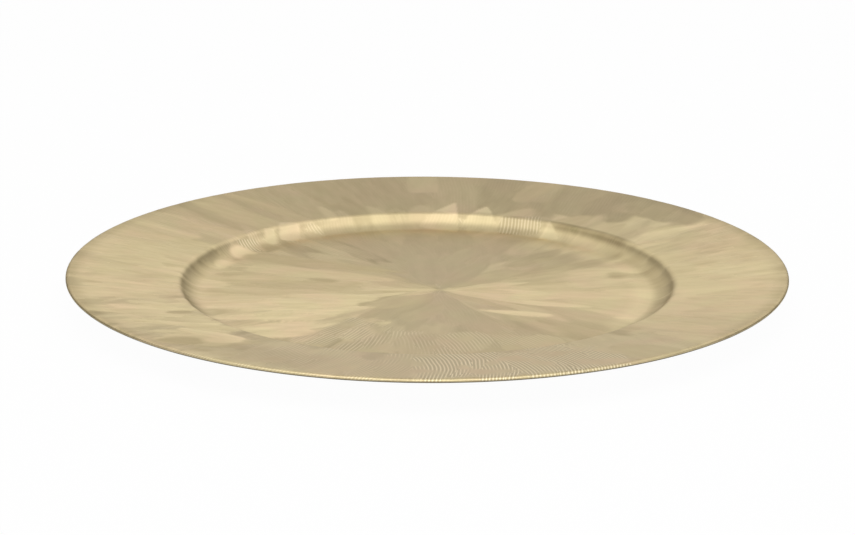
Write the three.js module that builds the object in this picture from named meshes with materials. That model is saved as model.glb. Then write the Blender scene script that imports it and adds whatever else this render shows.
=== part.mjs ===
// A round decorative charger plate: a moulded body on a foot ring, faced with a bonded gold film.
// The film covers the upper face and turns over the rounded edge of the rim, where it ends in a lip.
// Millimetres, +Z up. The origin is the middle of the plane that the foot ring stands on.
import * as THREE from "three";

// Overall
const plateDiameter = 330; // over the edge of the rim
const floorDiameter = 205; // flat of the well
const footHeight = 1.5; // table to the underside of the floor

// Thicknesses
const bodyWall = 1.2;
const filmThickness = 0.3;

// Section of the face, from the floor outwards (slopes in degrees, rising outwards)
const coveRadius = 13; // hollow curve from the floor up the side of the well
const wallSlope = 50; // steepest part of the side
const shoulderBend = 3.1; // radius on the underside of the bend from the side to the rim
const rimSlope = 6.6;
const crownRadius = 3; // curve that rolls the rim over towards its edge
const edgeSlope = -25; // fall of the crown at the edge
const filmWrap = 72; // how far the film turns round the edge, from the end of the crown

// Foot ring, under the floor
const footInset = 6.3; // edge of the flat floor in to the outside of the ring
const footWidth = 2.6; // across the ring at the table, roundings included
const footDraft = 0.5; // how much wider each side of the ring is at its root
const footRound = 0.4; // rounding of its two lower corners

// Gate mark, at the middle of the underside
const gateDiameter = 9; // shallow dish
const gateDepth = 0.4;
const vestigeDiameter = 2.4; // stub left inside the dish
const vestigeHeight = 0.25;

// Fineness of the mesh
const turnSteps = 72; // round the axis
const coveSteps = 6;
const shoulderSteps = 4;
const crownSteps = 4;
const wrapSteps = 3; // film round the edge
const heelSteps = 4; // body round the rest of the edge
const cornerSteps = 2;

// Tied sizes
const wall = bodyWall + filmThickness;
const edgeRadius = wall / 2;
const floorTop = footHeight + wall;
const floorRadius = floorDiameter / 2;

const radians = THREE.MathUtils.degToRad;

// Point of an arc at an angle from +r towards +z.
function arcPoint(centre, radius, angle) {
  return new THREE.Vector2(centre.x + radius * Math.cos(angle), centre.y + radius * Math.sin(angle));
}

// Points of an arc between two angles, both ends included.
function arcPoints(centre, radius, from, to, steps) {
  const step = (to - from) / steps;
  return Array.from({ length: steps + 1 }, (_, i) => arcPoint(centre, radius, from + step * i));
}

// A station of the face's section: a point and the slope there.
function station(r, z, slope) {
  return { r, z, slope };
}

// Stations along a bend that starts at one station and turns to a new slope, without the start itself.
// The bend turns up about a centre above the face, or down about a centre below it.
function bend(start, radius, toSlope, steps) {
  const side = Math.sign(toSlope - start.slope);
  const centreR = start.r - side * radius * Math.sin(start.slope);
  const centreZ = start.z + side * radius * Math.cos(start.slope);
  return Array.from({ length: steps }, (_, i) => {
    const slope = start.slope + ((toSlope - start.slope) * (i + 1)) / steps;
    const r = centreR + side * radius * Math.sin(slope);
    const z = centreZ - side * radius * Math.cos(slope);
    return station(r, z, slope);
  });
}

// The face's section from the axis to where the edge starts to turn over.
function faceStations() {
  const rise = radians(rimSlope);
  const fall = radians(edgeSlope);
  const floorEnd = station(floorRadius, floorTop, 0);
  const cove = bend(floorEnd, coveRadius, radians(wallSlope), coveSteps);
  const shoulder = bend(cove.at(-1), shoulderBend + wall, rise, shoulderSteps);
  const rimStart = shoulder.at(-1);
  const crownEnd = plateDiameter / 2 - edgeRadius * (1 + Math.sin(fall));
  const crownStart = crownEnd - crownRadius * (Math.sin(rise) - Math.sin(fall));
  const rimEnd = station(crownStart, rimStart.z + (crownStart - rimStart.r) * Math.tan(rise), rise);
  const crown = bend(rimEnd, crownRadius, fall, crownSteps);
  return [station(0, floorTop, 0), floorEnd, ...cove, ...shoulder, rimEnd, ...crown];
}

// The curve that runs at a constant depth under the face.
function below(stations, depth) {
  return stations.map(({ r, z, slope }) => {
    return new THREE.Vector2(r + depth * Math.sin(slope), z - depth * Math.cos(slope));
  });
}

// A stretch of the rounding of the edge, about the middle of the wall, between two turns from the end of the face.
function edgeRound(stations, radius, from, to, steps) {
  const last = stations.at(-1);
  const centre = below([last], edgeRadius)[0];
  const start = last.slope + Math.PI / 2;
  return arcPoints(centre, radius, start - from, start - to, steps);
}

// The foot ring's section, from its outer root to its inner root.
function footPoints() {
  const outer = floorRadius - footInset;
  const inner = outer - footWidth;
  const outerCorner = new THREE.Vector2(outer - footRound, footRound);
  const innerCorner = new THREE.Vector2(inner + footRound, footRound);
  const quarter = Math.PI / 2;
  return [
    new THREE.Vector2(outer + footDraft, footHeight),
    ...arcPoints(outerCorner, footRound, 0, -quarter, cornerSteps),
    ...arcPoints(innerCorner, footRound, -quarter, -2 * quarter, cornerSteps),
    new THREE.Vector2(inner - footDraft, footHeight),
  ];
}

// The gate mark's section, from the rim of the dish to the axis.
function gatePoints() {
  const dishRadius = gateDiameter / 2;
  const dishTop = footHeight + gateDepth;
  const stubRadius = vestigeDiameter / 2;
  const stubEnd = dishTop - vestigeHeight;
  return [
    new THREE.Vector2(dishRadius, footHeight),
    new THREE.Vector2(dishRadius - gateDepth, dishTop),
    new THREE.Vector2(stubRadius, dishTop),
    new THREE.Vector2(stubRadius, stubEnd),
    new THREE.Vector2(0, stubEnd),
  ];
}

// A solid of revolution about +Z from a section that runs round it clockwise, from the axis to the axis.
function turned(name, section, material) {
  const geometry = new THREE.LatheGeometry(section.toReversed(), turnSteps);
  geometry.rotateX(Math.PI / 2);
  const mesh = new THREE.Mesh(geometry, material);
  mesh.name = name;
  return mesh;
}

const bodyPlastic = new THREE.MeshStandardMaterial({ color: "#6e6450", roughness: 0.6, metalness: 0 });
const goldFilm = new THREE.MeshStandardMaterial({ color: "#d8c69e", roughness: 0.4, metalness: 0.9 });

const face = faceStations();
const bondRadius = edgeRadius - filmThickness;
const lip = radians(filmWrap);
const bondLine = [...below(face, filmThickness).slice(0, -1), ...edgeRound(face, bondRadius, 0, lip, wrapSteps)];
const filmOutside = [...below(face, 0).slice(0, -1), ...edgeRound(face, edgeRadius, 0, lip, wrapSteps)];
const heel = edgeRound(face, edgeRadius, lip, Math.PI, heelSteps).slice(0, -1);
const underside = below(face.slice(1), wall).toReversed();

const bodySection = [...bondLine, ...heel, ...underside, ...footPoints(), ...gatePoints()];
const filmSection = [...filmOutside, ...bondLine.toReversed()];
const body = turned("plate_body", bodySection, bodyPlastic);
const film = turned("gold_face", filmSection, goldFilm);

const plate = new THREE.Group();
plate.name = "charger_plate";
plate.add(body, film);

export default plate;
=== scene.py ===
"""Visual model of a decorative charger plate: a gold face of brushed strokes on a moulded body.

Sizes are in millimetres and go into Blender in metres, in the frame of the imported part: +Z up along
the plate's axis, the foot ring on z = 0, and the viewer of the photograph on the -Y side.
"""

import logging
import math
from dataclasses import dataclass
from enum import Enum
from typing import Any

import bpy
import numpy as np
from mathutils import Matrix, Vector


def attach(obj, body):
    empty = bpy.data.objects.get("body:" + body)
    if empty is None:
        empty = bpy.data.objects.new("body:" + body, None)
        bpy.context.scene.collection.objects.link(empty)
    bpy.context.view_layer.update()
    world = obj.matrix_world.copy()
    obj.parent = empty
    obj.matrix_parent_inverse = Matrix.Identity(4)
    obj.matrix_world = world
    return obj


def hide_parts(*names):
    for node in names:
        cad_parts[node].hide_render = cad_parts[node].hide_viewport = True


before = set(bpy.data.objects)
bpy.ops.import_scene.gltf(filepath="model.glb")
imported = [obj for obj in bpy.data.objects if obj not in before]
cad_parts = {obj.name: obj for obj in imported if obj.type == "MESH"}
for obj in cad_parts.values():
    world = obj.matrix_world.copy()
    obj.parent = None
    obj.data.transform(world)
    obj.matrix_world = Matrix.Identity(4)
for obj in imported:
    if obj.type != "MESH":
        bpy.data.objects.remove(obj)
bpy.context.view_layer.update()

log = logging.getLogger("charger_plate")

MM = 0.001  # a millimetre, in metres
IMAGE_WIDTH = 855  # pixels across the photograph
SENSOR_MM = 36.0
FULL_TURN = 2.0 * math.pi
ALL_ROUND = (0.0, 360.0)  # degrees
WHITE = (1.0, 1.0, 1.0, 1.0)
TINY = 1e-6  # keeps a power and a division off zero
SHARP_DEGREES = 40.0  # a mesh is smooth where it bends less than this

# The map for baking: two discs, each as a centre and a radius, and the strip that joins them (mm).
BAKE_MAP = "OFBake"
BIG_DISC = ((0.5, 0.5), 0.485)
SMALL_DISC = ((0.91, 0.91), 0.08)
LIP = 0.3


class Body(Enum):
    """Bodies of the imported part; a plate has no joint, so there is one."""

    ROOT = "root"


class Ray(Enum):
    """Light Path outputs of the rays that are shown the white background."""

    CAMERA = "Is Camera Ray"
    GLOSSY = "Is Glossy Ray"
    TRANSMISSION = "Is Transmission Ray"


class Mark(Enum):
    """Attributes of the gold face that its finish reads."""

    ACROSS = "groove_across"
    PLACE = "stroke_place"
    TONE = "stroke_tone"
    GAIN = "groove_gain"
    FEATHER = "bristle_contrast"
    POLISH = "edge_polish"


def linear(colour: str) -> tuple[float, float, float, float]:
    """Turns an sRGB hex colour into linear light by the curve of the sRGB standard.

    Args:
        colour: Six hex digits after a hash sign.

    Returns:
        Red, green, blue and an alpha of 1.
    """
    parts = np.array([int(colour[i : i + 2], 16) for i in (1, 3, 5)]) / 255.0
    light = np.where(parts <= 0.04045, parts / 12.92, ((parts + 0.055) / 1.055) ** 2.4)
    return (*light.tolist(), 1.0)


def per_metre(size: float) -> float:
    """Gives the scale of a noise whose features have a size in millimetres."""
    return 1.0 / (size * MM)


def emptied(owner: bpy.types.Material | bpy.types.World) -> bpy.types.NodeTree:
    """Gives a material or a world an empty node tree."""
    owner.use_nodes = True
    owner.node_tree.nodes.clear()
    return owner.node_tree


def add(
    tree: bpy.types.NodeTree, kind: str, inputs: dict[str | int, Any] | None = None, **settings: Any
) -> bpy.types.bpy_prop_collection:
    """Adds a node with its settings, and fills or links its inputs.

    Args:
        tree: The node tree that takes the node.
        kind: The node's type, without the ShaderNode in front.
        inputs: Input name or index to a value, or to the output socket that drives it.
        **settings: Properties of the node itself.

    Returns:
        The new node's outputs.
    """
    node = tree.nodes.new("ShaderNode" + kind)
    for name, value in settings.items():
        setattr(node, name, value)
    for key, value in (inputs or {}).items():
        if isinstance(value, bpy.types.NodeSocket):
            tree.links.new(value, node.inputs[key])
        else:
            node.inputs[key].default_value = value
    return node.outputs


def smooth(value: np.ndarray, low: float, high: float) -> np.ndarray:
    """Eases from 0 at low to 1 at high: 3 t squared less 2 t cubed of the clipped share t."""
    t = np.clip((value - low) / (high - low), 0.0, 1.0)
    return t * t * (3.0 - 2.0 * t)


@dataclass(frozen=True)
class Stations:
    """Points along a section of the plate, in millimetres and radians.

    Attributes:
        r: Distance from the plate's axis.
        z: Height above the table.
        slope: Angle of the section, rising outwards.
        run: Length along the section from its start.
    """

    r: np.ndarray
    z: np.ndarray
    slope: np.ndarray
    run: np.ndarray

    def below(self, depth: float) -> "Stations":
        """Gives the section that runs at a constant depth under this one."""
        r = self.r + depth * np.sin(self.slope)
        z = self.z - depth * np.cos(self.slope)
        return Stations(r, z, self.slope, self.run)

    def join(self, other: "Stations") -> "Stations":
        """Gives this section with another one put on its end."""
        pairs = ((self.r, other.r), (self.z, other.z), (self.slope, other.slope), (self.run, other.run))
        return Stations(*(np.concatenate(p) for p in pairs))


@dataclass(frozen=True)
class Rows:
    """How many steps of the grid each stretch of the section gets."""

    floor: int
    cove: int
    shoulder: int
    rim: int
    crown: int
    edge: int


@dataclass(frozen=True)
class PlateSection:
    """Section of the plate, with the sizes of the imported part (millimetres, degrees)."""

    plate_diameter: float = 330.0
    floor_diameter: float = 205.0
    foot_height: float = 1.5
    body_wall: float = 1.2
    film: float = 0.3
    cove_radius: float = 13.0
    wall_slope: float = 50.0
    shoulder_bend: float = 3.1
    rim_slope: float = 6.6
    crown_radius: float = 3.0
    edge_slope: float = -25.0
    film_wrap: float = 72.0

    @property
    def wall(self) -> float:
        """Thickness of the body and the film together."""
        return self.body_wall + self.film

    @property
    def floor_radius(self) -> float:
        """Radius of the flat floor of the well."""
        return self.floor_diameter / 2.0

    def face(self, rows: Rows) -> Stations:
        """Lays out the upper face: level floor, hollow cove, round shoulder, straight rim, crown.

        A bend is a turn of the slope at a fixed radius: r grows by the radius times the change of the
        sine of the slope, and z by the radius times the change of its cosine, with the sign of the turn.

        Args:
            rows: Steps of each stretch.

        Returns:
            The stations from the first step off the axis to where the edge turns over.
        """
        steep, rise, fall = np.radians([self.wall_slope, self.rim_slope, self.edge_slope])
        edge_radius = self.wall / 2.0
        shoulder_radius = self.shoulder_bend + self.wall
        crown_end = self.plate_diameter / 2.0 - edge_radius * (1.0 + math.sin(fall))
        crown_start = crown_end - self.crown_radius * (math.sin(rise) - math.sin(fall))

        share = np.arange(1, rows.floor + 1) / rows.floor
        r, slope = [self.floor_radius * share], [np.zeros(rows.floor)]
        z = [np.full(rows.floor, self.foot_height + self.wall)]
        run = [r[0]]

        def bend(radius: float, start: float, end: float, steps: int) -> None:
            """Adds a bend of a given radius from one slope to another."""
            angle = start + (end - start) * np.arange(1, steps + 1) / steps
            way = math.copysign(radius, end - start)
            r.append(r[-1][-1] + way * (np.sin(angle) - math.sin(start)))
            z.append(z[-1][-1] - way * (np.cos(angle) - math.cos(start)))
            slope.append(angle)
            run.append(run[-1][-1] + radius * np.abs(angle - start))

        bend(self.cove_radius, 0.0, steep, rows.cove)
        bend(shoulder_radius, steep, rise, rows.shoulder)
        length = (crown_start - r[-1][-1]) / math.cos(rise)
        step = length * np.arange(1, rows.rim + 1) / rows.rim
        r.append(r[-1][-1] + step * math.cos(rise))
        z.append(z[-1][-1] + step * math.sin(rise))
        slope.append(np.full(rows.rim, rise))
        run.append(run[-1][-1] + step)
        bend(self.crown_radius, rise, fall, rows.crown)
        return Stations(*(np.concatenate(p) for p in (r, z, slope, run)))

    def edge(self, face: Stations, radius: float, span: tuple[float, float], steps: int) -> Stations:
        """Turns the face over towards the underside: an arc about the middle of the wall.

        Args:
            face: The upper face.
            radius: Radius of the arc.
            span: Degrees from the end of the face at which the arc starts and ends.
            steps: Steps over the arc.

        Returns:
            The stations of the arc, both ends included.
        """
        middle = face.below(self.wall / 2.0)
        turned = np.radians(np.linspace(*span, steps + 1))
        slope = face.slope[-1] - turned
        r = middle.r[-1] - radius * np.sin(slope)
        z = middle.z[-1] + radius * np.cos(slope)
        return Stations(r, z, slope, face.run[-1] + radius * turned)


def polar_mesh(
    name: str, rings: np.ndarray, first_pole: np.ndarray, last_pole: np.ndarray
) -> bpy.types.Mesh:
    """Makes a closed mesh of rings about an axis, with a pole at each end.

    Ring i and column j hold a point; each pair of neighbouring rings and columns is a four-sided face,
    and the first and last rings close on their poles with triangles.

    Args:
        name: The mesh's name.
        rings: Points in millimetres, as rings by columns by 3.
        first_pole: Point inside the first ring.
        last_pole: Point inside the last ring.

    Returns:
        The mesh, smooth where it bends less than SHARP_DEGREES.
    """
    count, columns = rings.shape[:2]
    points = np.concatenate([rings.reshape(-1, 3), first_pole[None], last_pole[None]]) * MM
    here = np.arange(columns)
    after = (here + 1) % columns
    base = (np.arange(count - 1) * columns)[:, None]
    above = base + columns
    quads = np.stack([base + here, above + here, above + after, base + after], axis=-1)
    first = np.stack([np.full(columns, count * columns), here, after], axis=-1)
    end = (count - 1) * columns
    last = np.stack([end + here, np.full(columns, count * columns + 1), end + after], axis=-1)
    corners = np.concatenate([quads.ravel(), first.ravel(), last.ravel()]).astype(np.int32)
    sizes = np.concatenate([np.full(quads.shape[0] * columns, 4), np.full(2 * columns, 3)])
    starts = (np.cumsum(sizes) - sizes).astype(np.int32)

    mesh = bpy.data.meshes.new(name)
    mesh.vertices.add(len(points))
    mesh.vertices.foreach_set("co", points.astype(np.float32).ravel())
    mesh.loops.add(len(corners))
    mesh.loops.foreach_set("vertex_index", corners)
    mesh.polygons.add(len(starts))
    mesh.polygons.foreach_set("loop_start", starts)
    mesh.polygons.foreach_set("use_smooth", np.ones(len(starts), dtype=bool))
    mesh.update(calc_edges=True)
    mesh.validate()
    mesh.set_sharp_from_angle(angle=math.radians(SHARP_DEGREES))
    return mesh


def lay_flat(
    mesh: bpy.types.Mesh, columns: int, first: np.ndarray, last: np.ndarray, shown: bool
) -> None:
    """Gives a mesh of rings its map for baking: a large disc for the side that shows, and a small one.

    A ring's radius in its disc is its length along the section as a share of the side's whole length.
    The strip that joins the two sides lies on the first disc's edge.

    Args:
        mesh: The mesh, as polar_mesh makes it.
        columns: Its columns.
        first: Lengths from the first pole out to each ring of the first side.
        last: Lengths from the last pole out to each ring of the other side, the outermost ring first.
        shown: Whether the first side is the one that shows.
    """
    turn = FULL_TURN * np.arange(columns) / columns
    discs = (BIG_DISC, SMALL_DISC) if shown else (SMALL_DISC, BIG_DISC)
    sides = []
    lengths = (np.append(first, first[-1] + LIP), last)
    for reach, (centre, radius), way in zip(lengths, discs, (1.0, -1.0)):
        spoke = np.stack([np.cos(turn), way * np.sin(turn)], -1)
        sides.append(np.array(centre) + radius * (reach / reach.max())[:, None, None] * spoke)
    lower = np.concatenate([side[:-1] for side in sides])
    upper = np.concatenate([side[1:] for side in sides])
    quads = np.stack([lower, upper, np.roll(upper, -1, 1), np.roll(lower, -1, 1)], 2)
    poles = [np.tile(centre, (columns, 1)) for centre, _ in discs]
    inner, outer = sides[0][0], sides[1][-1]
    fan = np.stack([poles[0], inner, np.roll(inner, -1, 0)], 1)
    cap = np.stack([outer, poles[1], np.roll(outer, -1, 0)], 1)
    places = np.concatenate([part.reshape(-1, 2) for part in (quads, fan, cap)])
    mesh.uv_layers.new(name=BAKE_MAP).data.foreach_set("uv", places.astype(np.float32).ravel())


def show(mesh: bpy.types.Mesh, material: bpy.types.Material) -> bpy.types.Object:
    """Puts a mesh into the scene at the origin with its material.

    Args:
        mesh: The mesh, whose name the object takes.
        material: Its only material.

    Returns:
        The new object.
    """
    mesh.materials.append(material)
    piece = bpy.data.objects.new(mesh.name, mesh)
    bpy.context.scene.collection.objects.link(piece)
    return piece


# How the strokes of a band are shaken: the part of its own share of the sector that each may lie in,
# and the standard deviation of its swing and its bend, as shares of the brush's spread.
SHAKE = (0.05, 0.95)
SWING_SHARE = 0.6
BEND_SHARE = 0.7


@dataclass(frozen=True)
class Stroke:
    """One brush stroke on the face laid flat (millimetres, degrees).

    Attributes:
        start: Place of its inner end: from the burst if a band drew it, from the plate's axis if placed.
        heading: Direction that it sets out in, from +X towards +Y.
        length: Length.
        width: Half width at its widest.
        bend: Curvature, per millimetre, towards the left.
        tone: Shade, 0 to 1.
        gain: Depth of its grooves, as a share of the finish's depth.
        taper: Powers of the width's rise from the inner end and of its fall to the tip.
        feather: Contrast of its bristle marks, 0 to 1.
        soft: Width over which its edge is eased.
    """

    start: tuple[float, float]
    heading: float
    length: float
    width: float
    bend: float = 0.0
    tone: float = 0.5
    gain: float = 0.0
    taper: tuple[float, float] = (0.5, 0.75)
    feather: float = 0.3
    soft: float = 1.1


@dataclass(frozen=True)
class Brush:
    """How one kind of brush marks the face (millimetres, degrees).

    Attributes:
        width: Least and greatest half width of a stroke.
        swing: Middle and spread of a stroke's heading off the radius.
        bend: Middle and spread of a stroke's curvature, per millimetre.
        gain: Least and greatest depth of the grooves, as a share of the finish's depth.
        taper: Powers of the width's rise from the inner end and of its fall to the tip.
        feather: Contrast of the bristle marks, 0 to 1.
        soft: Width over which a stroke's edge is eased.
    """

    width: tuple[float, float]
    swing: tuple[float, float]
    bend: tuple[float, float]
    gain: tuple[float, float] = (0.0, 0.07)
    taper: tuple[float, float] = (0.5, 0.75)
    feather: float = 0.3
    soft: float = 1.1


@dataclass(frozen=True)
class StrokeBand:
    """A ring of brush strokes that are laid outwards from the burst (millimetres, degrees).

    Attributes:
        brush: The brush that lays it.
        count: How many strokes it holds.
        start: Least and greatest distance of a stroke's inner end from the burst.
        length: Least and greatest length.
        sector: Bearings from the burst between which it lies.
        tone: Least and greatest shade.
    """

    brush: Brush
    count: int
    start: tuple[float, float]
    length: tuple[float, float]
    sector: tuple[float, float]
    tone: tuple[float, float]

    def about(self, draw: np.random.Generator, span: tuple[float, float], share: float) -> np.ndarray:
        """Draws a value for each stroke: a middle, plus a spread times a normal draw.

        Args:
            draw: The seeded generator.
            span: The middle and the spread.
            share: The normal draw's standard deviation; the draw is cut off at twice that.

        Returns:
            The values.
        """
        off = np.clip(draw.normal(0.0, share, self.count), -2.0 * share, 2.0 * share)
        return span[0] + span[1] * off

    def lay(self, draw: np.random.Generator) -> list[Stroke]:
        """Draws the band's strokes.

        Bearings are shared out evenly over the sector and then shaken, so that no wide gap opens, and
        the strokes are laid in a mixed order.

        Args:
            draw: The seeded generator.

        Returns:
            The strokes, from the burst.
        """
        n, brush = self.count, self.brush
        share = (draw.permutation(n) + draw.uniform(*SHAKE, n)) / n
        bearing = self.sector[0] + (self.sector[1] - self.sector[0]) * share
        start = draw.uniform(*self.start, n)
        heading = bearing + self.about(draw, brush.swing, SWING_SHARE)
        length, width = draw.uniform(*self.length, n), draw.uniform(*brush.width, n)
        bend = self.about(draw, brush.bend, BEND_SHARE)
        tone, gain = draw.uniform(*self.tone, n), draw.uniform(*brush.gain, n)
        x, y = start * np.cos(np.radians(bearing)), start * np.sin(np.radians(bearing))
        drawn = zip(zip(x, y), heading, length, width, bend, tone, gain)
        return [Stroke(*row, brush.taper, brush.feather, brush.soft) for row in drawn]


@dataclass(frozen=True)
class ShadeRing:
    """A stretch of the face with painted light or painted shade added to its strokes' shade, or with a
    polish (millimetres, degrees).

    Attributes:
        run: Lengths along the section at which it sets in, is full, starts to fade, and ends.
        sector: Bearings from the axis at which it does the same.
        tone: What it adds to the strokes' shade where it is full.
    """

    run: tuple[float, float, float, float]
    sector: tuple[float, float, float, float]
    tone: float

    def shade(self, run: np.ndarray, bearing: np.ndarray) -> np.ndarray:
        """Gives what it adds at each point: its tone, eased in and out along the run and round the axis.

        Args:
            run: Length along the section of each ring.
            bearing: Bearing from the axis of each point, in radians, rings by columns.

        Returns:
            The change of shade, rings by columns.
        """
        middle = (self.sector[1] + self.sector[2]) / 2.0
        turn = (np.degrees(bearing) - middle + 180.0) % 360.0 - 180.0
        places = ((run[:, None], self.run), (turn, tuple(s - middle for s in self.sector)))
        window = [smooth(at, a, b) * (1.0 - smooth(at, c, d)) for at, (a, b, c, d) in places]
        return self.tone * window[0] * window[1]


@dataclass
class Painted:
    """What the strokes leave at each point of a grid.

    Attributes:
        owner: Index of the stroke on top.
        heading: Cosine and sine of the grooves' heading, eased from stroke to stroke.
        tone: Shade of the stroke, 0 to 1, eased.
        gain: Depth of its grooves, 0 to 1, eased.
        feather: Contrast of its bristle marks, 0 to 1, eased.
        relief: Height over the smooth face, in millimetres, eased.
    """

    owner: np.ndarray
    heading: np.ndarray
    tone: np.ndarray
    gain: np.ndarray
    feather: np.ndarray
    relief: np.ndarray


# Brushes: EVEN lays the ground, SMOOTH the far and near sides, FEATHERED and BLENDED the left and right,
# SHORT the side of the well, and BURST and FINE the middle. LEVEL and SWEPT run aslant of the radius. The
# combs leave lines: COMB arcs of deep grooves, LIGHT_COMB fainter ones, and HATCH short straighter ones.
EVEN = Brush((34.0, 38.0), (0.0, 2.0), (0.0, 0.0004), (0.1, 0.3), (1.0, 0.0), 0.2)
SMOOTH = Brush((6.0, 13.0), (0.0, 14.0), (0.0, 0.005), feather=0.35, soft=3.0)
FEATHERED = Brush((3.0, 8.0), (0.0, 10.0), (0.0, 0.003), (0.0, 0.2), feather=0.8, soft=3.0)
BLENDED = Brush((4.0, 9.0), (0.0, 12.0), (0.0, 0.005), feather=0.5, soft=4.0)
LEVEL = Brush((3.0, 6.5), (-30.0, 10.0), (0.0, 0.004), (0.0, 0.2), feather=0.8, soft=2.0)
SHORT = Brush((4.0, 8.0), (0.0, 26.0), (0.0, 0.006), (0.0, 0.3), feather=0.4)
BURST = Brush((4.0, 9.0), (0.0, 14.0), (0.0, 0.003), taper=(0.6, 0.7), soft=2.0)
FINE = Brush((2.0, 4.5), (0.0, 9.0), (0.0, 0.003), taper=(0.6, 0.7), feather=0.8)
COMB = Brush((9.0, 15.0), (20.0, 4.0), (-0.011, 0.002), (0.6, 0.9))
LIGHT_COMB = Brush((8.0, 14.0), (16.0, 10.0), (-0.009, 0.004), (0.12, 0.38))
HATCH = Brush((4.0, 8.0), (6.0, 6.0), (-0.004, 0.004), (0.2, 0.45), feather=0.7, soft=2.0)
SWEPT = Brush((6.0, 11.0), (16.0, 8.0), (0.0, 0.003), feather=0.3, soft=4.0)


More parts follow.
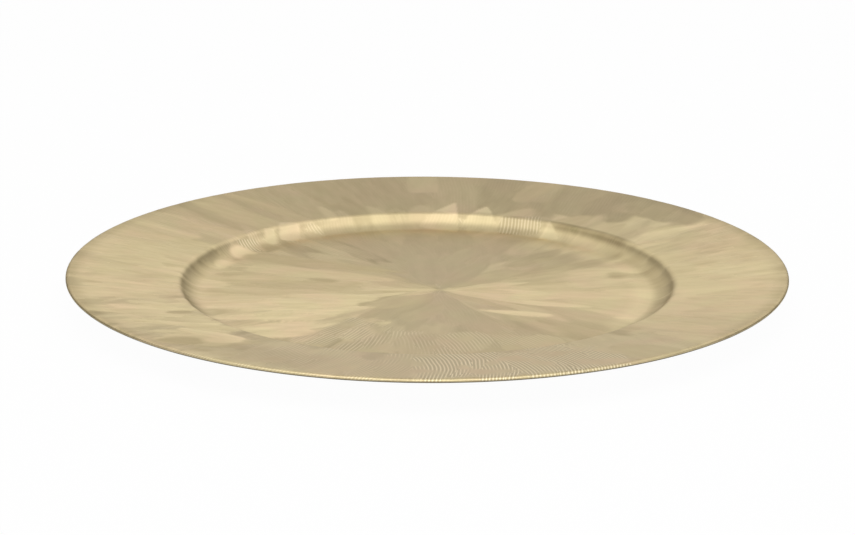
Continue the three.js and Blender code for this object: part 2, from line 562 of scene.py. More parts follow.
@dataclass(frozen=True)
class BrushStrokes:
    """Overlapping brush strokes that burst from a point near the middle of the plate.

    Attributes:
        burst: Place of the burst.
        bands: Rings of strokes, in the order in which they are laid.
        placed: Strokes that stand out in the photograph, laid last.
        rings: Stretches of painted light and painted shade, which lighten or darken the strokes.
        rubbed: The stretch of the edge that is rubbed to a polish.
        seed: Seed of the bands' generator.
        lift: Most that a stroke lies over or under the others.
        tilt: Most that one side of a stroke lies over its other side.
        crown: Height of a stroke's middle over its sides.
        least_half: Least half width over which a stroke's tilt and crown are drawn.
    """

    burst: tuple[float, float] = (6.2, 0.0)
    # The bands' ranges of shade differ from side to side, partly as painted light and shade: the far side of
    # the rim is painted darkest.
    bands: tuple[StrokeBand, ...] = (
        StrokeBand(EVEN, 40, (0.0, 2.0), (206.0, 212.0), ALL_ROUND, (0.2, 0.8)),
        # Rim.
        StrokeBand(FEATHERED, 80, (92.0, 136.0), (40.0, 80.0), (132.0, 236.0), (0.33, 0.68)),
        StrokeBand(FEATHERED, 80, (92.0, 136.0), (40.0, 80.0), (-56.0, 46.0), (0.34, 0.7)),
        StrokeBand(SMOOTH, 70, (92.0, 136.0), (46.0, 92.0), (54.0, 126.0), (0.15, 0.35)),
        StrokeBand(BLENDED, 22, (92.0, 136.0), (46.0, 92.0), (34.0, 62.0), (0.66, 0.96)),
        StrokeBand(SWEPT, 12, (118.0, 130.0), (34.0, 56.0), (46.0, 60.0), (0.1, 0.3)),
        StrokeBand(SWEPT, 10, (136.0, 144.0), (18.0, 34.0), (34.0, 48.0), (0.1, 0.3)),
        StrokeBand(BLENDED, 22, (92.0, 136.0), (46.0, 92.0), (118.0, 142.0), (0.22, 0.4)),
        StrokeBand(SMOOTH, 60, (92.0, 136.0), (46.0, 92.0), (232.0, 308.0), (0.38, 0.66)),
        StrokeBand(LIGHT_COMB, 14, (110.0, 122.0), (48.0, 70.0), (234.0, 274.0), (0.42, 0.68)),
        StrokeBand(COMB, 12, (110.0, 122.0), (48.0, 70.0), (266.0, 296.0), (0.42, 0.68)),
        StrokeBand(LEVEL, 16, (116.0, 134.0), (24.0, 46.0), (206.0, 234.0), (0.35, 0.8)),
        # Side of the well.
        StrokeBand(SHORT, 50, (86.0, 99.0), (14.0, 22.0), (50.0, 140.0), (0.35, 0.65)),
        StrokeBand(FEATHERED, 34, (70.0, 96.0), (30.0, 58.0), (138.0, 230.0), (0.4, 0.8)),
        StrokeBand(BLENDED, 34, (70.0, 96.0), (30.0, 58.0), (-50.0, 52.0), (0.45, 0.75)),
        # Floor.
        StrokeBand(SMOOTH, 50, (20.0, 74.0), (34.0, 66.0), (55.0, 125.0), (0.3, 0.5)),
        StrokeBand(SMOOTH, 50, (20.0, 74.0), (34.0, 66.0), (235.0, 305.0), (0.3, 0.66)),
        StrokeBand(FEATHERED, 70, (24.0, 74.0), (34.0, 66.0), (120.0, 240.0), (0.06, 0.68)),
        StrokeBand(BLENDED, 30, (24.0, 74.0), (34.0, 66.0), (-60.0, 4.0), (0.22, 0.78)),
        StrokeBand(BLENDED, 30, (24.0, 74.0), (34.0, 66.0), (-4.0, 60.0), (0.24, 0.78)),
        StrokeBand(LEVEL, 26, (30.0, 80.0), (30.0, 56.0), (203.0, 246.0), (0.68, 1.0)),
        StrokeBand(LIGHT_COMB, 12, (64.0, 80.0), (26.0, 40.0), (246.0, 302.0), (0.44, 0.7)),
        # Burst, with a bright wedge to the right.
        StrokeBand(BURST, 26, (3.0, 20.0), (30.0, 56.0), (40.0, 145.0), (0.36, 0.46)),
        StrokeBand(BURST, 26, (3.0, 20.0), (30.0, 56.0), (226.0, 300.0), (0.42, 0.54)),
        StrokeBand(FINE, 16, (3.0, 14.0), (24.0, 52.0), (-58.0, 22.0), (0.45, 0.85)),
        StrokeBand(HATCH, 12, (54.0, 84.0), (18.0, 32.0), (228.0, 249.0), (0.55, 0.95)),
    )
    placed: tuple[Stroke, ...] = (
        # Their shades are partly painted light and shade, standing in for reflections that light and darken
        # these patches.
        # Right part of the far side: fine lines, two wide strokes with pointed tips, a small point.
        Stroke((44.5, 94.0), 78.0, 15.0, 11.0, tone=0.3, gain=0.35, taper=(0.1, 0.1)),
        Stroke((24.8, 103.0), 75.0, 20.5, 9.6, tone=0.65, gain=0.05, taper=(0.05, 1.0)),
        Stroke((27.9, 114.5), 75.0, 9.0, 4.6, tone=1.0, taper=(0.05, 1.0)),
        Stroke((5.0, 103.0), 70.5, 28.2, 10.0, tone=0.7, gain=0.05, taper=(0.05, 1.0)),
        Stroke((9.3, 115.3), 70.5, 15.0, 5.4, tone=1.0, taper=(0.05, 1.0)),
        Stroke((58.9, 85.5), 81.0, 15.0, 5.0, tone=0.9, taper=(0.05, 1.0)),
        # Left part of the far side: two pale blocks, a patch of lines, a dark patch and pale strokes.
        Stroke((-66.9, 80.8), 100.0, 15.0, 5.5, tone=0.9, taper=(0.1, 0.1)),
        Stroke((-74.9, 74.4), 110.0, 12.0, 3.0, tone=0.9, taper=(0.1, 0.1)),
        Stroke((-72.0, 64.0), 138.0, 14.0, 6.0, tone=0.15, soft=3.0),
        Stroke((-81.0, 61.0), 130.0, 13.0, 6.0, tone=0.5, gain=0.6, taper=(0.1, 0.1)),
        Stroke((-83.0, 54.0), 147.0, 15.0, 7.0, tone=1.0, soft=3.0),
        Stroke((-92.0, 38.0), 158.0, 11.0, 6.0, tone=1.0, soft=3.0),
        # Left part of the far rim: a pale streak, and a pale patch near the middle.
        Stroke((-46.0, 103.0), 118.0, 20.0, 3.0, tone=0.6, soft=2.0),
        Stroke((-2.0, 142.0), 92.0, 24.0, 8.0, tone=0.5, taper=(0.1, 0.1), soft=1.5),
        # Left part of the floor: a dark wedge over a pale one, a dark smudge, a pale stroke nearer by.
        Stroke((-8.0, 27.0), 161.0, 86.0, 7.0, tone=0.15, taper=(0.9, 0.35), feather=0.5, soft=3.0),
        Stroke((-13.5, 14.5), 164.0, 76.0, 7.5, tone=0.58, taper=(0.6, 0.3), feather=0.8, soft=2.5),
        Stroke((-40.0, 13.0), 164.0, 18.0, 3.0, tone=0.05, soft=2.5),
        Stroke((-48.0, -64.0), 194.0, 38.0, 6.0, tone=0.9, feather=0.8, soft=2.5),
        # Left of the burst: two cross strokes that end the bright floor short of it, and a line between.
        Stroke((3.0, 1.0), 150.0, 20.0, 3.5, tone=0.45, taper=(0.5, 0.6), feather=0.8),
        Stroke((3.0, -1.0), 208.0, 18.0, 3.0, tone=0.55, taper=(0.5, 0.6), feather=0.8),
        Stroke((4.0, 0.0), 180.0, 30.0, 1.6, tone=0.65, taper=(0.3, 0.6), soft=2.0),
        # Right part of the floor: two dark lenses and a dark patch, and pale streaks nearer the viewer.
        Stroke((49.0, 46.0), 41.0, 17.0, 3.5, tone=0.2, feather=0.6, soft=2.5),
        Stroke((38.0, 20.0), 28.0, 36.0, 4.0, tone=0.28, feather=0.6, soft=3.0),
        Stroke((83.0, 24.0), 8.0, 15.0, 5.0, tone=0.0, feather=0.6, soft=3.5),
        Stroke((42.0, -18.0), -14.0, 34.0, 3.6, tone=0.85, feather=0.6, soft=2.5),
        Stroke((22.0, -31.0), -14.0, 36.0, 3.4, tone=1.0, taper=(0.9, 0.5), feather=0.6, soft=2.0),
        Stroke((84.0, -42.4), 0.0, 10.0, 1.0, tone=1.0),
        # Left part of the near rim: dark patches and pale level strokes.
        Stroke((-104.0, -57.5), 208.0, 15.0, 3.0, tone=0.1, soft=2.0),
        Stroke((-94.0, -108.0), 200.0, 26.0, 7.0, tone=0.2, soft=4.0),
        Stroke((-78.0, -102.0), 158.0, 34.0, 4.5, tone=1.0, feather=0.8, soft=2.5),
    )
    # Painted light and shade, in rings round the axis.
    rings: tuple[ShadeRing, ...] = (
        # Left side of the well: painted shade on the wall, over a foot lightened by painted light.
        ShadeRing((103.5, 112.0, 113.0, 116.4), (146.0, 160.0, 200.0, 226.0), -0.95),
        ShadeRing((98.0, 102.0, 107.0, 112.0), (140.0, 160.0, 200.0, 222.0), 0.1),
        # Right side of the well: the same.
        ShadeRing((101.5, 107.5, 112.8, 117.4), (-48.0, -24.0, 26.0, 60.0), -0.52),
        ShadeRing((92.0, 97.0, 101.0, 106.0), (-44.0, -24.0, 34.0, 60.0), 0.25),
        # Far side of the well, and the right part of it: painted light low down and painted shade higher up.
        ShadeRing((92.0, 98.0, 103.0, 106.0), (50.0, 70.0, 110.0, 130.0), 0.1),
        ShadeRing((104.0, 108.0, 115.0, 117.5), (58.0, 70.0, 98.0, 110.0), -0.25),
        ShadeRing((110.0, 114.0, 116.8, 118.4), (26.0, 36.0, 54.0, 62.0), -0.7),
        ShadeRing((84.0, 94.0, 106.0, 111.0), (28.0, 38.0, 52.0, 62.0), 0.35),
        # Left part of the near side: painted shade on the well's upper edge and on a patch of the rim.
        ShadeRing((111.5, 113.2, 115.0, 116.6), (196.0, 212.0, 254.0, 270.0), -0.85),
        ShadeRing((126.0, 140.0, 158.0, 166.0), (216.0, 228.0, 244.0, 256.0), -0.3),
        # Edge of the rim, near, left and right: painted shade that dims its highlight.
        ShadeRing((164.8, 165.8, 166.4, 167.2), (215.0, 240.0, 300.0, 325.0), -0.1),
        ShadeRing((158.0, 166.0, 180.0, 181.0), (120.0, 165.0, 205.0, 235.0), -0.5),
        ShadeRing((158.0, 166.0, 180.0, 181.0), (-55.0, -25.0, 15.0, 60.0), -0.5),
    )
    rubbed: ShadeRing = ShadeRing((165.6, 166.8, 180.0, 181.0), (200.0, 240.0, 300.0, 340.0), 0.4)
    seed: int = 11
    lift: float = 0.07
    tilt: float = 0.08
    crown: float = 0.05
    least_half: float = 0.5

    def lay(self) -> dict[str, np.ndarray]:
        """Lays out every stroke, with places from the burst.

        Returns:
            Stroke sizes by name, in the order in which the strokes are laid.
        """
        draw = np.random.default_rng(self.seed)
        drawn = [stroke for band in self.bands for stroke in band.lay(draw)]
        strokes = [*drawn, *self.placed]
        moved = [np.subtract(stroke.start, self.burst) for stroke in self.placed]
        start = np.array([stroke.start for stroke in drawn] + moved)
        taper = np.array([s.taper for s in strokes])
        plain = ("length", "width", "bend", "tone", "gain", "feather", "soft")
        laid = {key: np.array([getattr(s, key) for s in strokes]) for key in plain}
        laid |= {"x": start[:, 0], "y": start[:, 1], "start": np.hypot(*start.T)}
        laid |= {"rise": taper[:, 0], "fall": taper[:, 1]}
        laid["heading"] = np.radians([s.heading for s in strokes])
        laid["lift"] = draw.uniform(-self.lift, self.lift, len(strokes))
        laid["tilt"] = draw.uniform(-self.tilt, self.tilt, len(strokes))
        return laid

    @staticmethod
    def across(
        x: np.ndarray, y: np.ndarray, stroke: dict[str, np.ndarray]
    ) -> tuple[np.ndarray, np.ndarray]:
        """Gives a point's place in a stroke: along its heading, and across it off its bent spine.

        The spine is a parabola, so the distance across it is the plain distance across the heading
        less half the curvature times the square of the distance along.

        Args:
            x: Places of the points along X from the burst.
            y: Places along Y.
            stroke: The stroke's sizes.

        Returns:
            Places along the stroke and across it.
        """
        dx, dy = x - stroke["x"], y - stroke["y"]
        cos, sin = np.cos(stroke["heading"]), np.sin(stroke["heading"])
        along = dx * cos + dy * sin
        return along, dy * cos - dx * sin - 0.5 * stroke["bend"] * along**2

    def paint(self, x: np.ndarray, y: np.ndarray, laid: dict[str, np.ndarray]) -> Painted:
        """Lays the strokes one over the other on a grid of points.

        A stroke covers the points within its half width: its width times the share along it to the
        power of the rise, times the share left to the power of the fall, over the greatest that this
        product reaches. Its edge and its ends are eased over the soft width. Its height is its lift,
        its tilt times the share across it, and its crown times 1 less the square of that share.

        Args:
            x: Places of the points along X from the burst, on the face laid flat, rings by columns.
            y: Places along Y.
            laid: The strokes.

        Returns:
            What is left at each point.
        """
        away = np.hypot(x, y)
        nearest, furthest = away.min(axis=1), away.max(axis=1)
        owner = np.zeros(x.shape, dtype=np.int32)
        heading = np.zeros((*x.shape, 2))
        eased = {key: np.zeros(x.shape) for key in ("tone", "gain", "feather", "relief")}
        for k in range(len(laid["x"])):
            stroke = {key: value[k] for key, value in laid.items()}
            reach = stroke["length"] + stroke["width"]
            touched = (furthest > stroke["start"] - reach) & (nearest < stroke["start"] + reach)
            rings = np.flatnonzero(touched)
            part = slice(rings[0], rings[-1] + 1)
            along, across = self.across(x[part], y[part], stroke)
            t = np.clip(along / stroke["length"], 0.0, 1.0)
            rise, fall = max(stroke["rise"], TINY), stroke["fall"]
            top = rise / (rise + fall)
            peak = top**rise * (1.0 - top) ** fall if fall > 0.0 else 1.0
            half = stroke["width"] * t**rise * (1.0 - t) ** fall / peak
            ends = np.clip(np.minimum(along, stroke["length"] - along) / stroke["soft"], 0.0, 1.0)
            cover = np.clip(0.5 + (half - np.abs(across)) / stroke["soft"], 0.0, 1.0) * ends
            v = np.clip(across / np.maximum(half, self.least_half), -1.0, 1.0)
            height = stroke["lift"] + stroke["tilt"] * v + self.crown * (1.0 - v * v)
            angle = stroke["heading"] + stroke["bend"] * along
            groove = np.stack([np.cos(angle), np.sin(angle)], -1)
            owner[part][cover > 0.5] = k
            heading[part] += cover[..., None] * (groove - heading[part])
            for key, layer in eased.items():
                layer[part] += cover * (stroke.get(key, height) - layer[part])
        return Painted(owner, heading, **eased)


@dataclass(frozen=True)
class MetallisedFilm:
    """Metallised film, satin, embossed with brushed grooves (millimetres).

    The metal gives a pale gold colour that is all reflection. The grooves spread each reflection
    across themselves, so a stroke is light or dark by the way it runs as well as by its own shade,
    and the coarser grooves show as fine lines along it.

    Attributes:
        low: Colour of a stroke of shade 0.
        high: Colour of a stroke of shade 1.
        warm: Colour of a stroke of shade 1 in the warmer clouds of the coat.
        groove_shade: Colour of the painted shade between the ridges of the grooves.
        ridge_highlight: Colour of the painted highlight on the ridges.
        grazing: Tint of what the metal reflects at a grazing angle.
        roughness: Roughness of a stroke of shade 1, and of one of shade 0.
        polished: Roughness where the edge is rubbed.
        anisotropy: How much more the grooves spread a reflection across themselves than along.
        bristle: Length and width of the bristle marks.
        stride: How far the bristle marks' noise moves on from one stroke to the next.
        fibre: Values of that noise at which a mark is dark, and pale.
        feather: Most that the bristle marks take of a stroke's shade.
        swing: Most that a bristle leans off its stroke, as a slope.
        pitch: Distance from ridge to ridge.
        depth: Height of a ridge.
        narrowing: Power that narrows the ridges.
        wander: How far the ridges wander.
        weave: Distance over which they do.
        patch: Size of the patches in which the ridges come and go on level ground.
        lined: Values of the patches' noise at which the ground is bare, and fully lined.
        steep: Upward parts of the normal at which the ground counts as level, and as a side.
        cloud: Size of the clouds in the coat.
        warmed: Values of the clouds' noise at which the coat is plain, and fully warm.
    """

    name: str = "metallised_film_embossed"
    low: str = "#A89975"
    high: str = "#DBCCA1"
    warm: str = "#DFC8A3"
    groove_shade: str = "#AD9E7A"
    ridge_highlight: str = "#EADDBB"
    grazing: str = "#FFF9F3"
    roughness: tuple[float, float] = (0.42, 0.52)
    polished: float = 0.26
    anisotropy: float = 0.6
    bristle: tuple[float, float] = (17.0, 5.5)
    stride: float = 7.0
    fibre: tuple[float, float] = (0.3, 0.7)
    feather: float = 0.4
    swing: float = 0.22
    pitch: float = 1.7
    depth: float = 0.055
    narrowing: float = 2.0
    wander: float = 1.8
    weave: float = 20.0
    patch: float = 12.0
    lined: tuple[float, float] = (0.35, 0.52)
    steep: tuple[float, float] = (0.96, 0.86)
    cloud: float = 22.0
    warmed: tuple[float, float] = (0.4, 0.65)

    def material(self) -> bpy.types.Material:
        """Makes the film's material from the marks on the face.

        A Mix node's inputs 2 and 3 are numbers, its inputs 6 and 7 and its output 2 are colours.

        Returns:
            The material.
        """
        material = bpy.data.materials.new(self.name)
        tree = emptied(material)
        mark = {m: add(tree, "Attribute", attribute_name=m.value) for m in Mark}
        place, across = mark[Mark.PLACE]["Vector"], mark[Mark.ACROSS]["Vector"]
        feather = mark[Mark.FEATHER]["Fac"]
        spot = add(tree, "TexCoord")["Object"]

        # Bristle marks: noise drawn out along a stroke, and new in each stroke.
        length, width = self.bristle
        scale = (1.0 / length, 1.0 / width, self.stride)
        drawn = add(tree, "VectorMath", {0: place, 1: scale}, operation="MULTIPLY")[0]
        noise = add(tree, "TexNoise", {"Vector": drawn, "Scale": 1.0, "Detail": 3.0})["Fac"]
        dark, pale = self.fibre
        fibre = add(tree, "MapRange", {"Value": noise, "From Min": dark, "From Max": pale})[0]
        blend = add(tree, "Math", {0: feather, 1: self.feather}, operation="MULTIPLY")[0]
        tone = add(tree, "Mix", {0: blend, 2: mark[Mark.TONE]["Fac"], 3: fibre})[0]

        # Grooves: a sine across the stroke, raised to a power, whose ridges wander a little. On level
        # ground they come and go in patches; on the side of the well they all show.
        weave = add(tree, "TexNoise", {"Vector": spot, "Scale": per_metre(self.weave), "Detail": 1.0})["Fac"]
        side = add(tree, "SeparateXYZ", {0: place})["Y"]
        drift = add(tree, "Math", {0: weave, 1: self.wander, 2: side}, operation="MULTIPLY_ADD")[0]
        turn = add(tree, "Math", {0: drift, 1: FULL_TURN / self.pitch}, operation="MULTIPLY")[0]
        wave = add(tree, "Math", {0: turn}, operation="SINE")[0]
        swell = add(tree, "Math", {0: wave, 1: 0.5, 2: 0.5}, operation="MULTIPLY_ADD")[0]
        ridge = add(tree, "Math", {0: swell, 1: self.narrowing}, operation="POWER")[0]
        patch = add(tree, "TexNoise", {"Vector": spot, "Scale": per_metre(self.patch), "Detail": 1.0})["Fac"]
        bare, full = self.lined
        lined = add(tree, "MapRange", {"Value": patch, "From Min": bare, "From Max": full})[0]
        normal = add(tree, "NewGeometry")["Normal"]
        upward = add(tree, "SeparateXYZ", {0: normal})["Z"]
        level, leaning = self.steep
        steep = add(tree, "MapRange", {"Value": upward, "From Min": level, "From Max": leaning})[0]
        kept = add(tree, "Math", {0: lined, 1: steep}, operation="MAXIMUM")[0]
        deep = add(tree, "Math", {0: kept, 1: mark[Mark.GAIN]["Fac"]}, operation="MULTIPLY")[0]
        height = add(tree, "Math", {0: ridge, 1: deep}, operation="MULTIPLY")[0]
        bump = add(tree, "Bump", {"Strength": 1.0, "Distance": self.depth * MM, "Height": height})[0]

        # Each bristle runs a little off its stroke, so the direction across the grooves swings with it.
        along = add(tree, "VectorMath", {0: across, 1: normal}, operation="CROSS_PRODUCT")[0]
        sway = add(tree, "MapRange", {"Value": fibre, "To Min": -self.swing, "To Max": self.swing})[0]
        off = add(tree, "Math", {0: sway, 1: feather}, operation="MULTIPLY")[0]
        lean = add(tree, "VectorMath", {0: along, "Scale": off}, operation="SCALE")[0]
        tangent = add(tree, "VectorMath", {0: across, 1: lean})[0]

        # Colour: the stroke's shade in a coat that is warmer in clouds, and over it the grooves' painted
        # shade and painted highlights.
        cloud = add(tree, "TexNoise", {"Vector": spot, "Scale": per_metre(self.cloud), "Detail": 2.0})["Fac"]
        plain, warmed = self.warmed
        coat = add(tree, "MapRange", {"Value": cloud, "From Min": plain, "From Max": warmed})[0]
        low, high, warm = linear(self.low), linear(self.high), linear(self.warm)
        groove_shade, ridge_highlight = linear(self.groove_shade), linear(self.ridge_highlight)
        bright = add(tree, "Mix", {0: coat, 6: high, 7: warm}, data_type="RGBA")[2]
        shade = add(tree, "Mix", {0: tone, 6: low, 7: bright}, data_type="RGBA", clamp_factor=False)[2]
        ridge_light_and_shade = add(tree, "Mix", {0: ridge, 6: groove_shade, 7: ridge_highlight}, data_type="RGBA")[2]
        colour = add(tree, "Mix", {0: deep, 6: shade, 7: ridge_light_and_shade}, data_type="RGBA")[2]

        fine, coarse = self.roughness
        rough = add(tree, "MapRange", {"Value": tone, "To Min": coarse, "To Max": fine})[0]
        sheen = add(tree, "Mix", {0: mark[Mark.POLISH]["Fac"], 2: rough, 3: self.polished})[0]
        metal = add(tree, "BsdfPrincipled", {
            "Base Color": colour,
            "Metallic": 1.0,
            "Specular Tint": linear(self.grazing),
            "Roughness": sheen,
            "Anisotropic": self.anisotropy,
            "Tangent": tangent,
            "Normal": bump,
        })[0]
        add(tree, "OutputMaterial", {"Surface": metal})
        return material


@dataclass(frozen=True)
class MouldedPlastic:
    """Polypropylene, injection moulded in a satin steel mould, dyed a dark bronze (millimetres).

    It gives a soft even shade with a dull sheen, and the faint mottle of the mould's grain.

    Attributes:
        low: Darker colour of the dye's clouds.
        high: Paler colour of the dye's clouds.
        roughness: Roughness in the hollows and on the tops of the mould's grain.
        ior: Index of refraction.
        cloud: Size of the clouds.
        grain: Size of the mould's grain.
        depth: Depth of the mould's grain.
    """

    name: str = "polypropylene_moulded"
    low: str = "#6A6049"
    high: str = "#7A6F56"
    roughness: tuple[float, float] = (0.42, 0.56)
    ior: float = 1.49
    cloud: float = 30.0
    grain: float = 0.6
    depth: float = 0.01

    def material(self) -> bpy.types.Material:
        """Makes the plastic's material.

        Returns:
            The material.
        """
        material = bpy.data.materials.new(self.name)
        tree = emptied(material)
        spot = add(tree, "TexCoord")["Object"]
        cloud = add(tree, "TexNoise", {"Vector": spot, "Scale": per_metre(self.cloud), "Detail": 3.0})["Fac"]
        grain = add(tree, "TexNoise", {"Vector": spot, "Scale": per_metre(self.grain), "Detail": 2.0})["Fac"]
        bump = add(tree, "Bump", {"Strength": 1.0, "Distance": self.depth * MM, "Height": grain})[0]
        low, high = linear(self.low), linear(self.high)
        shade = add(tree, "Mix", {0: cloud, 6: low, 7: high}, data_type="RGBA")[2]
        hollow, top = self.roughness
        rough = add(tree, "MapRange", {"Value": grain, "To Min": hollow, "To Max": top})[0]
        plastic = add(tree, "BsdfPrincipled", {
            "Base Color": shade,
            "Roughness": rough,
            "IOR": self.ior,
            "Normal": bump,
        })[0]
        add(tree, "OutputMaterial", {"Surface": plastic})
        return material


@dataclass
class GoldFace:
    """The gold film: its brushed upper side, its turn over the edge, and the side bonded to the body.

    Attributes:
        section: The plate's section.
        strokes: The brush strokes on it.
        finish: Its finish.
        columns: Steps round the axis.
        rows: Steps along the upper side.
        bonded: Steps along the side bonded to the body.
        calm: Share of the strokes' relief that is gone at the edge.
        calm_width: Width over which it goes, in millimetres.
        tones: Least and greatest shade.
    """

    section: PlateSection
    strokes: BrushStrokes
    finish: MetallisedFilm
    columns: int = 780
    rows: Rows = Rows(floor=38, cove=12, shoulder=6, rim=36, crown=5, edge=9)
    bonded: Rows = Rows(floor=1, cove=4, shoulder=3, rim=1, crown=1, edge=3)
    calm: float = 0.7
    calm_width: float = 6.0
    tones: tuple[float, float] = (-0.6, 1.0)

    def build(self) -> bpy.types.Object:
        """Makes the film.

        The upper side is a function of a place along the section and an angle. Its rings slide from
        the burst at the pole to the plate's axis at the edge of the floor, and the strokes' relief is
        added along the face's own normal. The bonded side is the same section, one film deeper.

        Returns:
            The film's object.
        """
        section, burst = self.section, self.strokes.burst
        face, bond_face = section.face(self.rows), section.face(self.bonded)
        outer, wrap = section.wall / 2.0, section.film_wrap
        top = face.join(section.edge(face, outer, (wrap / self.rows.edge, wrap), self.rows.edge - 1))
        turned = (wrap / self.bonded.edge, wrap)
        bond_edge = section.edge(bond_face, outer - section.film, turned, self.bonded.edge)
        under = bond_face.below(section.film).join(bond_edge)
        angle = FULL_TURN * np.arange(self.columns) / self.columns

        flat_x, flat_y = self.flat(top.run, angle)
        laid = self.strokes.lay()
        painted = self.strokes.paint(flat_x, flat_y, laid)
        x, y = flat_x + burst[0], flat_y + burst[1]
        around = np.arctan2(y, x)
        cos, sin, none = np.cos(around), np.sin(around), np.zeros_like(around)
        radial, sideways = np.stack([cos, sin, none], -1), np.stack([-sin, cos, none], -1)
        up = np.array([0.0, 0.0, 1.0])
        slope = top.slope[:, None, None]
        along = radial * np.cos(slope) + up * np.sin(slope)
        normal = up * np.cos(slope) - radial * np.sin(slope)
        on_floor = (top.run < section.floor_radius)[:, None]
        out = np.where(on_floor, np.hypot(x, y), top.r[:, None])
        end = face.run[-1]
        relief = painted.relief * (1.0 - self.calm * smooth(top.run, end - self.calm_width, end))[:, None]
        rings = radial * out[..., None] + up * top.z[:, None, None] + normal * relief[..., None]

        size = np.linalg.norm(painted.heading, axis=-1, keepdims=True)
        head = np.moveaxis(painted.heading / np.maximum(size, TINY), -1, 0)
        outward, aside = head[0] * cos + head[1] * sin, head[1] * cos - head[0] * sin
        across = sideways * outward[..., None] - along * aside[..., None]
        # The strokes' shade, with the rings' painted light and painted shade added to it.
        tone = painted.tone + sum(ring.shade(top.run, around) for ring in self.strokes.rings)

        spokes = np.stack([np.cos(angle), np.sin(angle), np.zeros_like(angle)], -1)
        back = under.r[::-1, None, None] * spokes + up * under.z[::-1, None, None]
        pole = np.array([*burst, top.z[0] + painted.relief[0].mean()])
        mesh = polar_mesh("gold_film", np.concatenate([rings, back]), pole, up * under.z[0])
        lay_flat(mesh, self.columns, top.run, under.run[::-1], True)

        # Each mark's values on the upper side, and its one value on the bonded side.
        marks = {
            Mark.ACROSS: (across, (1.0, 0.0, 0.0)),
            Mark.TONE: (np.clip(tone, *self.tones), 0.5),
            Mark.POLISH: (self.strokes.rubbed.shade(top.run, around), 0.0),
            Mark.GAIN: (painted.gain, 0.0),
            Mark.FEATHER: (painted.feather, 0.0),
        }
        for mark, (values, rest) in marks.items():
            self.put(mesh, mark, values, len(under.r), rest)
        self.place(mesh, flat_x, flat_y, laid)
        piece = show(mesh, self.finish.material())
        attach(piece, Body.ROOT.value)
        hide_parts("gold_face")
        return piece

    def flat(self, run: np.ndarray, angle: np.ndarray) -> tuple[np.ndarray, np.ndarray]:
        """Lays the face flat about the burst: a ring of the section's run, eccentric on the floor.

        The middle of a ring slides from the burst to the plate's axis as the run grows from 0 to the
        floor's radius.

        Args:
            run: Length along the section of each ring.
            angle: Angle of each column.

        Returns:
            Places along X and Y from the burst, in millimetres, rings by columns.
        """
        slid = np.clip(run / self.section.floor_radius, 0.0, 1.0)[:, None]
        x = run[:, None] * np.cos(angle) - slid * self.strokes.burst[0]
        y = run[:, None] * np.sin(angle) - slid * self.strokes.burst[1]
        return x, y

    def put(
        self, mesh: bpy.types.Mesh, mark: Mark, values: np.ndarray, hidden: int, rest: Any
    ) -> None:
        """Writes a mark to the mesh's points.

        Args:
            mesh: The film.
            mark: Which mark.
            values: Its values on the upper side, rings by columns.
            hidden: Number of rings on the bonded side.
            rest: Its value on the bonded side.
        """
        vector = values.ndim == 3
        layer = mesh.attributes.new(mark.value, "FLOAT_VECTOR" if vector else "FLOAT", "POINT")
        wide = np.empty((len(mesh.vertices), 3) if vector else len(mesh.vertices), dtype=np.float32)
        wide[:] = rest
        shown = values.shape[0] * self.columns
        wide[:shown] = values.reshape(shown, -1) if vector else values.ravel()
        pole = shown + hidden * self.columns
        wide[pole] = values[0].mean(axis=0)
        layer.data.foreach_set("vector" if vector else "value", wide.ravel())

    def place(
        self, mesh: bpy.types.Mesh, x: np.ndarray, y: np.ndarray, laid: dict[str, np.ndarray]
    ) -> None:
        """Writes each corner's place in its stroke: along it, across it, and the stroke's number.

        A face belongs to the stroke on top at its middle, and its four corners are all measured in
        that stroke, so the grooves break cleanly from stroke to stroke.

        Args:
            mesh: The film.
            x: Places along X of the upper side's points, laid flat.
            y: Places along Y.
            laid: The strokes.
        """
        here = np.arange(self.columns)
        after = (here + 1) % self.columns
        inner, outer = slice(None, -1), slice(1, None)
        corners = ((inner, here), (outer, here), (outer, after), (inner, after))
        cx, cy = (np.stack([at[i][:, j] for i, j in corners], -1) for at in (x, y))
        owner = self.strokes.paint(cx.mean(-1), cy.mean(-1), laid).owner
        stroke = {key: value[owner][..., None] for key, value in laid.items()}
        along, across = self.strokes.across(cx, cy, stroke)
        number = np.broadcast_to(owner[..., None], along.shape)
        wide = np.zeros((len(mesh.loops), 3), dtype=np.float32)
        wide[: along.size] = np.stack([along, across, number], -1).reshape(-1, 3)
        layer = mesh.attributes.new(Mark.PLACE.value, "FLOAT_VECTOR", "CORNER")
        layer.data.foreach_set("vector", wide.ravel())


